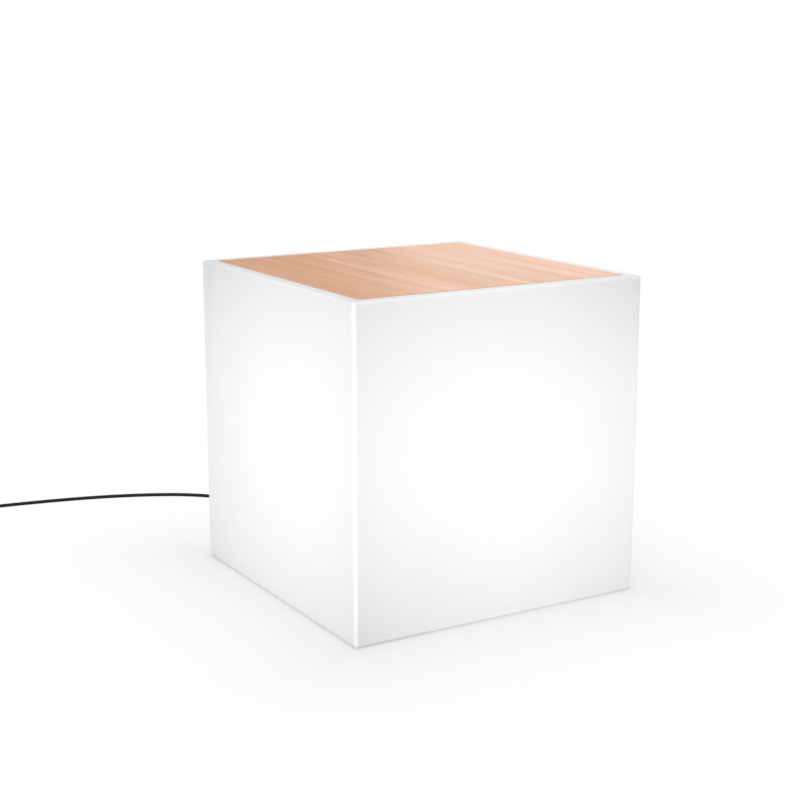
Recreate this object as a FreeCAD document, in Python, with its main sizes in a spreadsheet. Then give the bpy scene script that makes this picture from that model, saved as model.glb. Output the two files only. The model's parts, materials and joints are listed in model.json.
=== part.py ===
"""Illuminated cube side table.

A hollow, translucent moulded cube carries a wooden top laid into its rim. A lamp stands on a pedestal
at the cube's centre, on a hatch that is screwed under the cube, and a mains lead leaves at the back.

Lengths are in millimetres. The origin is on the floor under the cube's centre. +Z is up, -Y is the
front face, and the lead leaves through the back face, +Y.
"""
import FreeCAD, Part
import math
import os

import Sketcher

# The driving dimensions. Each one is a cell of the spreadsheet.
SIZES = {
    # the moulded cube
    "cube_width": 450.0,  # outer width and depth
    "cube_height": 450.0,  # rim above the floor
    "edge_radius": 4.5,  # rounding of the outer edges
    "wall": 4.0,  # moulded wall
    "rim_width": 17.0,  # outer face to the side of the panel recess
    "rim_hollow": 9.0,  # width of the hollow inside the rim
    "lip_radius": 0.5,  # rounding of the rim's inner edge
    "cavity_radius": 2.0,  # rounding inside the hollow
    # the wooden top
    "panel_thickness": 10.0,
    "panel_gap": 0.5,  # panel to rim, all round
    "panel_proud": 0.2,  # panel above the rim
    "panel_corner": 2.0,
    "panel_edge": 0.4,  # softened upper edge
    "pad_radius": 10.0,
    "pad_thickness": 1.5,
    "pad_inset": 45.0,  # outer pads, in from the panel's sides
    # what the cube stands on
    "foot_height": 1.6,  # underside above the floor
    "foot_radius": 12.0,
    "foot_seat": 1.5,  # depth of a foot's seat
    "foot_inset": 40.0,  # foot's axis, in from the cube's sides
    # the round recess under the cube, and the hatch in it
    "recess_radius": 115.0,
    "recess_depth": 28.4,
    "opening_radius": 75.0,  # service opening
    "channel_width": 16.0,  # groove for the lead
    "channel_height": 20.4,  # its crown above the underside
    "hatch_radius": 98.0,
    "plate_thickness": 3.0,
    "gasket_thickness": 1.5,
    "gasket_margin": 2.0,  # gasket in from the hatch's rim and the opening
    "hatch_circle_radius": 87.0,  # circle of the hatch screws
    "hatch_screw_radius": 2.0,  # radius
    "hatch_screw_length": 12.0,
    "insert_radius": 3.5,
    "insert_length": 9.0,
    "boss_radius": 7.0,
    "boss_cover": 3.0,  # material over an insert's end
    # the wiring well of the hatch
    "well_width": 60.0,
    "well_length": 64.0,
    "well_wall": 2.5,
    "well_corner": 3.0,
    "well_clearance": 4.4,  # well above the cube's underside
    "gland_drop": 8.5,  # lead's axis below the plate
    # the clamp that holds the lead in the well
    "clamp_setback": 17.0,  # clamp's middle, in from the well's end
    "clamp_width": 22.0,
    "clamp_length": 8.0,
    "clamp_height": 5.2,  # jaw's top above the lead's axis
    "clamp_screw_radius": 1.5,
    "clamp_screw_offset": 7.5,
    "clamp_screw_length": 11.0,
    # the pedestal
    "pedestal_flange_radius": 54.0,
    "pedestal_flange_thickness": 3.0,
    "pedestal_radius": 20.0,
    "pedestal_wall": 2.5,
    "pedestal_height": 80.0,
    "pedestal_circle_radius": 49.0,
    "pedestal_screw_radius": 1.5,
    "pedestal_screw_length": 11.0,
    "tap_wall": 2.5,  # material round a blind hole
    "tap_cover": 1.5,  # material under a blind hole
    "gusset_height": 26.0,
    "gusset_thickness": 3.0,
    "gusset_setback": 6.0,  # gusset's foot, in from the flange's rim
    # the lead, its gland and its bend sleeve
    "lead_radius": 2.85,
    "gland_thread_radius": 6.0,
    "gland_thread_length": 7.5,
    "gland_flats": 15.0,
    "gland_collar": 5.0,
    "gland_washer_thickness": 1.5,
    "gland_nut_length": 14.5,
    "gland_nut_end_radius": 6.3,  # radius of the dome nut's end
    "lock_nut_thickness": 4.0,
    "seal_wall": 1.95,
    "seal_length": 5.0,
    "seal_flange": 2.5,
    "sleeve_flange": 1.5,
    "sleeve_length": 30.0,  # outside its flange
    "sleeve_root_radius": 4.8,  # radius where it leaves the gland
    "sleeve_end_radius": 3.9,
    # the lampholder and the nipple that carries it
    "nipple_radius": 5.0,
    "nipple_bore_radius": 3.9,
    "nipple_reach": 3.0,  # nipple into the holder
    "nipple_end": 3.0,  # nipple past its nut
    "nipple_nut_flats": 14.0,
    "nipple_nut_thickness": 4.0,
    "holder_radius": 19.0,
    "holder_wall": 2.0,
    "holder_floor": 3.0,
    "holder_base_height": 24.0,
    "holder_height": 58.0,
    "spigot_length": 8.0,
    "insulator_height": 17.0,
    "insulator_hollow_radius": 9.0,
    "insulator_disc_thickness": 6.0,
    "wire_hole_offset": 7.0,
    "thread_contact_wall": 0.5,
    "thread_contact_height": 30.0,
    "centre_contact_radius": 5.0,
    "centre_contact_height": 6.0,
    # the lamp: a screw cap of 27 mm and a globe of 95 mm
    "cap_radius": 13.1,
    "cap_length": 21.0,
    "cap_wall": 0.6,
    "thread_pitch": 3.6,
    "thread_depth": 0.9,
    "tip_radius": 4.5,
    "tip_height": 2.0,
    "cap_glass_height": 4.0,
    "neck_radius": 14.4,
    "neck_length": 6.0,
    "collar_radius": 26.3,
    "collar_height": 24.0,
    "collar_band": 6.0,  # upright band at the collar's top
    "collar_wall": 2.0,
    "collar_hole_radius": 8.0,
    "spreader_depth": 3.5,  # its seat below the collar's top
    "spreader_thickness": 2.0,
    "led_board_margin": 3.0,
    "led_board_thickness": 1.6,
    "led_width": 2.8,
    "led_length": 3.5,
    "led_height": 0.8,
    "led_circle_radius": 15.0,
    "driver_width": 16.0,
    "driver_thickness": 1.6,
    "capacitor_radius": 4.0,
    "capacitor_height": 11.0,
    "choke_width": 8.0,
    "choke_depth": 6.0,
    "choke_height": 9.0,
    "globe_radius": 47.5,
    "globe_wall": 1.5,
    # the wiring
    "core_radius": 1.1,
    "terminal_setback": 12.0,  # terminal block's middle, in front of the well's middle
    "terminal_width": 24.0,
    "terminal_length": 18.0,
    "terminal_height": 14.0,
    "terminal_spacing": 12.0,
    "terminal_sleeve_radius": 2.5,
    "terminal_bore_radius": 1.4,
    "terminal_screw_radius": 1.5,
    "terminal_screw_length": 5.1,
    # the vent
    "vent_offset": 64.0,
    "vent_radius": 5.0,
    "vent_lip": 3.0,  # head wider than the hole
    "vent_head": 2.5,
    "vent_barb": 0.6,
    "vent_barb_height": 2.4,
    "vent_wall": 2.4,
    # the coil of spare lead, and the plug
    "coil_x": -501.0,
    "coil_y": 608.2,
    "coil_inner": 26.8,  # lead's centreline at the coil's inside
    "coil_gap": 0.6,  # between neighbouring turns
    "plug_radius": 17.65,
    "plug_thickness": 26.1,
    "plug_length": 52.0,
    "plug_neck": 26.0,  # length of the bend protector
    "plug_neck_end_radius": 4.4,  # its radius where the lead enters
    "plug_neck_root_radius": 6.4,  # its radius at the plug
    "pin_radius": 2.4,
    "pin_length": 19.0,
    "pin_root_radius": 1.9,  # radius inside the plug
    "pin_root_length": 8.0,
    "pin_spacing": 19.0,
}

# Running clearances, seats and small forms that repeat.
FIT = 0.1  # round a screw, pin or shaft that is held
HOLE_CLEARANCE = 0.25  # round a screw that passes through
HEX_FLATS_TO_CORNER = 1 / math.sqrt(3)
HATCH_SCREWS = 6
HATCH_SCREW_START = 30.0  # degrees
PEDESTAL_SCREWS = 4
PEDESTAL_SCREW_START = 45.0  # degrees
GUSSETS = 4
LED_COUNT = 12
SLEEVE_RIBS = 5
PLUG_NECK_RIBS = 4
FOOT_CHAMFER = 0.8
RIB_DEPTH = 0.5  # of a bend sleeve
CLAMP_GAP = 0.3  # each jaw short of the lead's axis
COLLAR_BORE = 0.55  # gland's bore clear of the lead

# The route of the lead, in millimetres, from the gland under the cube to the start of the coil.
LEAD_ROUTE = [
    (0.0, 92.0, 17.0),
    (0.0, 110.0, 14.2),
    (0.4, 134.0, 6.6),
    (0.0, 158.0, 3.0),
    (0.9, 195.0, 2.95),
    (0.4, 244.0, 2.95),
    (-4.5, 298.0, 2.95),
    (-15.5, 357.0, 2.95),
    (-35.0, 418.2, 2.95),
    (-67.5, 482.0, 2.95),
    (-121.7, 538.3, 2.95),
    (-182.0, 572.6, 2.95),
    (-247.0, 598.6, 2.95),
    (-313.0, 616.8, 2.95),
    (-376.0, 629.6, 2.95),
]
LEAD_LAST_RUN = 44.0  # straight into the coil

# The coil: four layers that spiral in and out, with a station at every tenth of a layer.
COIL_START = 79.0  # degrees
COIL_TURN = 3341.0  # degrees from its start to its end
COIL_LAYERS = 4
STATIONS_PER_LAYER = 10
FLOOR_CLEARANCE = 0.1  # under the lead where it lies on the floor

# The lead from the coil to the plug: a straight run, then steps along X, Y and Z from the coil's end.
TAIL_FIRST_RUN = 22.0
TAIL_STEPS = [(-1.5, -46.0, -4.4), (-2.5, -69.0, -8.7), (-2.5, -88.0, -8.7)]

# Where the insulated cores and wires turn, as distances from the pieces that they pass.
CORE_SPREAD = 2.3  # straight at the lead's end and in front of the terminal
WIRE_LOOP = 4.5  # out of the terminal, under the plate and above the lampholder's floor
WIRE_WAY_IN = 10.0  # from the terminal's face to where a wire climbs
WIRE_RISE = 14.0  # first climb above the plate
WIRE_GATHER = 22.0  # below the pedestal's top, where the wires come together
WIRE_APART = 1.8  # each wire off the pedestal's axis there
WIRE_END_RUN = 10.0  # straight into the lampholder's contacts

doc = FreeCAD.newDocument("illuminated_cube")
nodes = []


def vector(x, y, z):
    return FreeCAD.Vector(x, y, z)


# ---------------------------------------------------------------- sizes


class Size:
    """A length with its number now and the spreadsheet formula that properties are bound to."""

    def __init__(self, value, formula):
        self.value = value
        self.formula = formula

    def __add__(self, other):
        return Size(self.value + number(other), f"({self.formula} + {formula(other)})")

    def __radd__(self, other):
        return Size(number(other) + self.value, f"({formula(other)} + {self.formula})")

    def __sub__(self, other):
        return Size(self.value - number(other), f"({self.formula} - {formula(other)})")

    def __rsub__(self, other):
        return Size(number(other) - self.value, f"({formula(other)} - {self.formula})")

    def __mul__(self, other):
        return Size(self.value * number(other), f"({self.formula} * {formula(other)})")

    def __rmul__(self, other):
        return self * other

    def __truediv__(self, other):
        return Size(self.value / number(other), f"({self.formula} / {formula(other)})")

    def __neg__(self):
        return 0 - self


def number(size):
    return size.value if isinstance(size, Size) else float(size)


def formula(size):
    return size.formula if isinstance(size, Size) else f"{size:.9f}"


def root(size):
    return Size(math.sqrt(size.value), f"sqrt({size.formula})")


class Named:
    """The spreadsheet's sizes by name."""

    def __init__(self, sheet):
        for row, (name, value) in enumerate(SIZES.items(), start=1):
            sheet.set(f"A{row}", name)
            sheet.set(f"B{row}", str(value))
            sheet.setAlias(f"B{row}", name)
            setattr(self, name, Size(value, f"{sheet.Name}.{name}"))


s = Named(doc.addObject("Spreadsheet::Sheet", "sizes"))
doc.recompute()

# ---------------------------------------------------------------- document helpers


def bind(thing, name, size):
    """Ties a property to the spreadsheet."""
    thing.setExpression(name, formula(size))


def node(thing, label):
    """Makes a document object one of the model's named pieces."""
    thing.Label = label
    nodes.append(thing)
    return thing


def place(thing, x=0.0, y=0.0, z=0.0, turn=None):
    """Puts a primitive at a point that follows the spreadsheet. turn is a rotation's axis and angle."""
    if turn:
        axis, angle = turn
        thing.Placement = FreeCAD.Placement(vector(0, 0, 0), FreeCAD.Rotation(axis, angle))
    bind(thing, "Placement.Base.x", x)
    bind(thing, "Placement.Base.y", y)
    bind(thing, "Placement.Base.z", z)
    return thing


UP_TO_BACK = (vector(1, 0, 0), -90)  # turns +Z to +Y
UP_TO_FRONT = (vector(1, 0, 0), 90)  # turns +Z to -Y


def cylinder(radius, height, x=0.0, y=0.0, z=0.0, turn=None):
    thing = doc.addObject("Part::Cylinder", "Cylinder")
    bind(thing, "Radius", radius)
    bind(thing, "Height", height)
    return place(thing, x, y, z, turn)


def box(width, depth, height, x=0.0, y=0.0, z=0.0):
    """A box centred on x and y, standing on z."""
    thing = doc.addObject("Part::Box", "Box")
    bind(thing, "Length", width)
    bind(thing, "Width", depth)
    bind(thing, "Height", height)
    return place(thing, x - width / 2, y - depth / 2, z)


def hexagon(flats, height, x=0.0, y=0.0, z=0.0, turn=None):
    thing = doc.addObject("Part::Prism", "Hexagon")
    thing.Polygon = 6
    bind(thing, "Circumradius", flats * HEX_FLATS_TO_CORNER)
    bind(thing, "Height", height)
    return place(thing, x, y, z, turn)


def cut(base, *tools):
    """One shape less the others."""
    thing = doc.addObject("Part::Cut", "Cut")
    thing.Base = base
    thing.Tool = tools[0] if len(tools) == 1 else fuse(*tools)
    return thing


def fuse(*shapes):
    thing = doc.addObject("Part::MultiFuse", "Fuse")
    thing.Shapes = list(shapes)
    return thing


def common(*shapes):
    thing = doc.addObject("Part::MultiCommon", "Common")
    thing.Shapes = list(shapes)
    return thing


def group(shapes):
    """Separate solids that share one node."""
    thing = doc.addObject("Part::Compound", "Group")
    thing.Links = list(shapes)
    return thing


def ring(outer, inner, height, x=0.0, y=0.0, z=0.0, turn=None):
    """A tube or washer."""
    hole = cylinder(inner, height, x, y, z, turn)
    return cut(cylinder(outer, height, x, y, z, turn), hole)


def new_body():
    return doc.addObject("PartDesign::Body", "Body")


def plane(body, role):
    return next(part for part in body.Origin.OriginFeatures if part.Role == role)


def new_sketch(body, role, offset):
    sketch = body.newObject("Sketcher::SketchObject", "Sketch")
    sketch.AttachmentSupport = [(plane(body, role), "")]
    sketch.MapMode = "FlatFace"
    bind(sketch, "AttachmentOffset.Base.z", offset)
    return sketch


def constrain(sketch, name, size, *where):
    """Adds a dimension to a sketch and ties it to the spreadsheet."""
    kind = name.split("_")[0]
    index = sketch.addConstraint(Sketcher.Constraint(kind, *where, number(size)))
    sketch.renameConstraint(index, name)
    bind(sketch, f"Constraints.{name}", size)


def outline(body, role, points, offset=0.0):
    """A closed outline through the points, each coordinate tied to its size."""
    sketch = new_sketch(body, role, offset)
    corners = [vector(number(x), number(y), 0) for x, y in points]
    for here, there in zip(corners, corners[1:] + corners[:1]):
        sketch.addGeometry(Part.LineSegment(here, there), False)
    for i in range(len(corners)):
        sketch.addConstraint(Sketcher.Constraint("Coincident", i, 2, (i + 1) % len(corners), 1))
    for i, (x, y) in enumerate(points):
        constrain(sketch, f"DistanceX_{i}", x, -1, 1, i, 1)
        constrain(sketch, f"DistanceY_{i}", y, -1, 1, i, 1)
    return sketch


def rectangle(body, half_width, half_depth, offset, centre_y=0.0):
    """A rectangle on the body's XY plane."""
    low, high = centre_y - half_depth, centre_y + half_depth
    points = [(-half_width, low), (half_width, low), (half_width, high), (-half_width, high)]
    return outline(body, "XY_Plane", points, offset)


def circles(body, centres, radius, offset, role="XY_Plane"):
    """Circles of one radius, each at a centre that follows the spreadsheet."""
    sketch = new_sketch(body, role, offset)
    up = vector(0, 0, 1)
    for i, (x, y) in enumerate(centres):
        sketch.addGeometry(Part.Circle(vector(number(x), number(y), 0), up, number(radius)), False)
        constrain(sketch, f"DistanceX_{i}", x, -1, 1, i, 3)
        constrain(sketch, f"DistanceY_{i}", y, -1, 1, i, 3)
        constrain(sketch, f"Radius_{i}", radius, i)
    return sketch


def pad(body, sketch, length, both_ways=False):
    """Adds material above a sketch, or half above and half below."""
    feature = body.newObject("PartDesign::Pad", "Pad")
    feature.Profile = sketch
    feature.Midplane = both_ways
    bind(feature, "Length", length)
    doc.recompute()
    return feature


def pocket(body, sketch, length, upwards=False):
    """Removes material below a sketch, or above it, and makes sure that some was removed."""
    before = body.Shape.Volume
    feature = body.newObject("PartDesign::Pocket", "Pocket")
    feature.Profile = sketch
    feature.Reversed = upwards
    bind(feature, "Length", length)
    doc.recompute()
    if body.Shape.Volume >= before:
        raise RuntimeError(f"{feature.Name} removes nothing")
    return feature


def revolve(points):
    """A body turned about the Z axis from an outline of (radius, height) points."""
    body = new_body()
    feature = body.newObject("PartDesign::Revolution", "Revolution")
    feature.Profile = outline(body, "XZ_Plane", points)
    feature.ReferenceAxis = (feature.Profile[0], ["V_Axis"])
    feature.Angle = 360
    doc.recompute()
    return body


def round_edges(body, radius, wanted, kind="Fillet"):
    """Rounds or chamfers the edges of the body's last shape that wanted(edge) picks."""
    doc.recompute()
    base = body.Tip
    names = [f"Edge{i}" for i, edge in enumerate(base.Shape.Edges, start=1) if wanted(edge)]
    if not names:
        raise RuntimeError(f"no edge of {body.Label} to round")
    feature = body.newObject(f"PartDesign::{kind}", kind)
    feature.Base = (base, names)
    bind(feature, "Radius" if kind == "Fillet" else "Size", radius)
    doc.recompute()
    return feature


def at_height(edge, z):
    """Whether an edge lies flat at that height."""
    bounds = edge.BoundBox
    return abs(bounds.ZMin - number(z)) < 0.01 and abs(bounds.ZMax - number(z)) < 0.01


def polar(radius, count, first=0.0):
    """Evenly spaced points round the Z axis, the first one at an angle in degrees."""
    turns = [math.radians(first + 360 / count * i) for i in range(count)]
    return [(radius * math.cos(turn), radius * math.sin(turn)) for turn in turns]


def screw(radius, length, x, y, seat, upwards):
    """A socket-head screw whose head bears on the height seat, driven upwards or downwards."""
    head_radius, head_height = radius * 1.9, radius * 1.3
    socket_depth = head_height * 0.6
    if upwards:
        head = cylinder(head_radius, head_height, x, y, seat - head_height)
        shank = cylinder(radius, length, x, y, seat)
        socket = hexagon(head_radius, socket_depth, x, y, seat - head_height)
    else:
        head = cylinder(head_radius, head_height, x, y, seat)
        shank = cylinder(radius, length, x, y, seat - length)
        socket = hexagon(head_radius, socket_depth, x, y, seat + head_height - socket_depth)
    return cut(fuse(head, shank), socket)


# ---------------------------------------------------------------- places that pieces share

half = s.cube_width / 2
underside = s.foot_height
rim_top = s.cube_height
recess_half = half - s.rim_width
panel_half = recess_half - s.panel_gap
panel_top = rim_top + s.panel_proud
panel_bottom = panel_top - s.panel_thickness
deck = panel_bottom - s.pad_thickness
ceiling = underside + s.recess_depth
plate_top = ceiling - s.gasket_thickness
plate_bottom = plate_top - s.plate_thickness
well_bottom = underside + s.well_clearance
well_floor = well_bottom + s.well_wall
lead_z = plate_bottom - s.gland_drop
pedestal_top = plate_top + s.pedestal_height
holder_floor = pedestal_top + s.holder_floor
insulator_top = holder_floor + s.insulator_height
lamp_tip = insulator_top + s.centre_contact_height
cap_bottom = lamp_tip + s.tip_height + s.cap_glass_height
cap_top = cap_bottom + s.cap_length
collar_top = cap_top + s.collar_height
light_centre = collar_top + root(s.globe_radius * s.globe_radius - s.collar_radius * s.collar_radius)
tap_depth = s.pedestal_screw_length - s.pedestal_flange_thickness + FIT
clamp_y = s.well_length / 2 - s.clamp_setback
terminal_y = -s.terminal_setback
hatch_places = polar(s.hatch_circle_radius, HATCH_SCREWS, HATCH_SCREW_START)
pedestal_places = polar(s.pedestal_circle_radius, PEDESTAL_SCREWS, PEDESTAL_SCREW_START)
foot_at = half - s.foot_inset
foot_places = [(foot_at * i, foot_at * j) for i in (-1, 1) for j in (-1, 1)]


# ---------------------------------------------------------------- the moulded cube


def channel(widening, y_start, y_length):
    """The arched groove for the lead, from the underside up, widened all round."""
    radius = s.channel_width / 2 + widening
    crown = underside + s.channel_height - s.channel_width / 2
    upright = box(radius * 2, y_length, crown, 0.0, y_start + y_length / 2, 0.0)
    return fuse(upright, cylinder(radius, y_length, 0.0, y_start, crown, UP_TO_BACK))


def cube_outside():
    """The cube's outer form with the panel recess, the base recess and the foot seats."""
    body = new_body()
    pad(body, rectangle(body, half, half, underside), rim_top - underside)
    round_edges(body, s.edge_radius, lambda edge: True)
    pocket(body, rectangle(body, recess_half, recess_half, rim_top), rim_top - deck)
    corner = number(recess_half)

    def recess_corner(edge):
        centre = edge.CenterOfMass
        return abs(abs(centre.x) - corner) < 0.01 and abs(abs(centre.y) - corner) < 0.01

    round_edges(body, s.panel_corner + s.panel_gap, recess_corner)
    limit = corner + 0.01

    def recess_mouth(edge):
        return at_height(edge, rim_top) and max(edge.BoundBox.XMax, edge.BoundBox.YMax) < limit

    round_edges(body, s.lip_radius, recess_mouth)
    pocket(body, circles(body, [(0.0, 0.0)], s.recess_radius, underside), s.recess_depth, upwards=True)
    pocket(body, circles(body, [(0.0, 0.0)], s.opening_radius, ceiling), s.wall, upwards=True)
    pocket(body, circles(body, foot_places, s.foot_radius + FIT, underside), s.foot_seat, upwards=True)
    return body


def cube_cavity():
    """The hollow inside the cube, which leaves the wall round every recess."""
    inside = new_body()
    inner_half = half - s.wall
    floor = underside + s.wall
    pad(inside, rectangle(inside, inner_half, inner_half, floor), rim_top - s.wall - floor)
    round_edges(inside, s.cavity_radius, lambda edge: True)
    jacket = 2 * (inner_half - s.rim_hollow)
    roof = deck - s.wall
    keep = [
        box(jacket, jacket, rim_top - roof, 0.0, 0.0, roof),
        cylinder(s.recess_radius + s.wall, ceiling + s.wall),
        channel(s.wall, s.recess_radius * 0.9, half),
    ]
    for x, y in hatch_places:
        keep.append(cylinder(s.boss_radius, ceiling + s.insert_length + s.boss_cover, x, y))
    return cut(inside, *keep)


def make_cube():
    # the lead's groove starts inside the base recess and runs out through the back face
    groove = channel(0.0, s.recess_radius * 0.9, half)
    radius, length = s.insert_radius, s.insert_length
    seats = [cylinder(radius + FIT / 2, length + FIT, x, y, ceiling) for x, y in hatch_places]
    node(cut(cube_outside(), cube_cavity(), groove, *seats), "cube_shell")
    bore = s.hatch_screw_radius + FIT / 2
    inserts = [ring(radius, bore, length, x, y, ceiling) for x, y in hatch_places]
    node(group(inserts), "thread_inserts")
    make_feet()


def make_feet():
    feet = []
    for x, y in foot_places:
        foot = cylinder(s.foot_radius, s.foot_height + s.foot_seat, x, y)
        rounding = doc.addObject("Part::Chamfer", "Chamfer")
        doc.recompute()
        rounding.Base = foot
        rounding.Edges = [(foot_rim(foot), FOOT_CHAMFER, FOOT_CHAMFER)]
        feet.append(rounding)
    node(group(feet), "rubber_feet")


def foot_rim(foot):
    """The number of the round edge that meets the floor."""
    return next(i for i, edge in enumerate(foot.Shape.Edges, start=1) if at_height(edge, 0.0))


# ---------------------------------------------------------------- the wooden top


def make_top():
    panel = new_body()
    pad(panel, rectangle(panel, panel_half, panel_half, panel_bottom), s.panel_thickness)
    round_edges(panel, s.panel_corner, lambda e: e.BoundBox.ZLength > number(s.panel_thickness) / 2)
    round_edges(panel, s.panel_edge, lambda e: at_height(e, panel_top))
    node(panel, "top_panel")
    at = panel_half - s.pad_inset
    places = [(at * i, at * j) for i in (-1, 1) for j in (-1, 1)] + [(0.0, 0.0)]
    node(group([cylinder(s.pad_radius, s.pad_thickness, x, y, deck) for x, y in places]), "panel_pads")


# ---------------------------------------------------------------- the hatch


def make_hatch():
    node(hatch_with_holes(hatch_form()), "hatch_plate")
    outer, inner = s.hatch_radius - s.gasket_margin, s.opening_radius + s.gasket_margin
    gasket = ring(outer, inner, s.gasket_thickness, z=plate_top)
    clear = s.hatch_screw_radius + HOLE_CLEARANCE
    holes = [cylinder(clear, s.gasket_thickness, x, y, plate_top) for x, y in hatch_places]
    node(cut(gasket, *holes), "hatch_gasket")
    size = (s.hatch_screw_radius, s.hatch_screw_length)
    screws = [screw(*size, x, y, plate_bottom, True) for x, y in hatch_places]
    node(group(screws), "hatch_screws")
    make_vent()


def hatch_form():
    """The round plate with the wiring well under it, its screw bosses and the lower jaw of the clamp."""
    body = new_body()
    half_x, half_y = s.well_width / 2, s.well_length / 2
    pad(body, circles(body, [(0.0, 0.0)], s.hatch_radius, plate_bottom), s.plate_thickness)
    pad(body, rectangle(body, half_x, half_y, well_bottom), plate_top - well_bottom)
    low, high = number(well_bottom) + 0.01, number(plate_bottom) + 0.01
    round_edges(body, s.well_corner, lambda e: e.BoundBox.ZMin < low and e.BoundBox.ZMax < high)
    boss_bottom = plate_top - tap_depth - s.tap_cover
    bosses = circles(body, pedestal_places, s.pedestal_screw_radius + s.tap_wall, boss_bottom)
    pad(body, bosses, plate_top - boss_bottom)
    inside = rectangle(body, half_x - s.well_wall, half_y - s.well_wall, plate_top)
    pocket(body, inside, plate_top - well_floor)
    jaw = rectangle(body, s.clamp_width / 2, s.clamp_length / 2, well_floor, clamp_y)
    pad(body, jaw, lead_z - CLAMP_GAP - well_floor)
    return body


def hatch_with_holes(body):
    screw_clear = circles(body, hatch_places, s.hatch_screw_radius + HOLE_CLEARANCE, plate_top)
    pocket(body, screw_clear, s.plate_thickness)
    pocket(body, circles(body, pedestal_places, s.pedestal_screw_radius + FIT / 2, plate_top), tap_depth)
    vent_hole = circles(body, [(-s.vent_offset, 0.0)], s.vent_radius + FIT, plate_top)
    pocket(body, vent_hole, s.plate_thickness)
    taps = [(-s.clamp_screw_offset, clamp_y), (s.clamp_screw_offset, clamp_y)]
    tapped = circles(body, taps, s.clamp_screw_radius + FIT / 2, lead_z - CLAMP_GAP)
    pocket(body, tapped, s.clamp_screw_length - s.clamp_height)
    wall_face = s.well_length / 2
    through = (wall_face - s.well_wall * 2, wall_face + s.well_wall)
    gland_hole = round_bar(s.gland_thread_radius + FIT, *through)
    groove = round_bar(s.lead_radius + FIT, clamp_y - s.clamp_length, clamp_y + s.clamp_length)
    return cut(body, gland_hole, groove)


def make_vent():
    """A mushroom plug with a membrane, pushed up through the plate and held by its barb."""
    radius, lip = s.vent_radius, s.vent_radius + s.vent_lip
    bottom, membrane = plate_bottom - s.vent_head, s.vent_head / 3
    points = [
        (0.0, bottom),
        (lip - membrane, bottom),
        (lip, bottom + membrane),
        (lip, plate_bottom),
        (radius, plate_bottom),
        (radius, plate_top),
        (radius + s.vent_barb, plate_top),
        (radius - s.vent_barb, plate_top + s.vent_barb_height),
        (radius - s.vent_wall, plate_top + s.vent_barb_height),
        (radius - s.vent_wall, plate_bottom - membrane),
        (0.0, plate_bottom - membrane),
    ]
    node(place(revolve(points), -s.vent_offset), "vent_plug")


# ---------------------------------------------------------------- the lead's entry


def round_bar(radius, start, end):
    """A cylinder along the lead's axis inside the base, from one y to another."""
    return cylinder(radius, end - start, 0.0, start, lead_z, UP_TO_BACK)


def hex_bar(flats, start, end):
    return hexagon(flats, end - start, 0.0, start, lead_z, UP_TO_BACK)


def ribbed_taper(bore, start_radius, end_radius, start, length, ribs):
    """The outline of a flexible sleeve that swells from its start to its end in ribs."""
    pitch = length / ribs
    points = [(bore, start), (start_radius, start)]
    for i in range(ribs):
        swell = start_radius + (end_radius - start_radius) * (i + 1) / ribs
        low = start + pitch * i
        points += [(swell, low + pitch * 0.4), (swell, low + pitch)]
        if i < ribs - 1:
            points += [(swell - RIB_DEPTH, low + pitch), (swell - RIB_DEPTH, low + pitch * 1.2)]
    points.append((bore, start + length))
    return points


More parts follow.
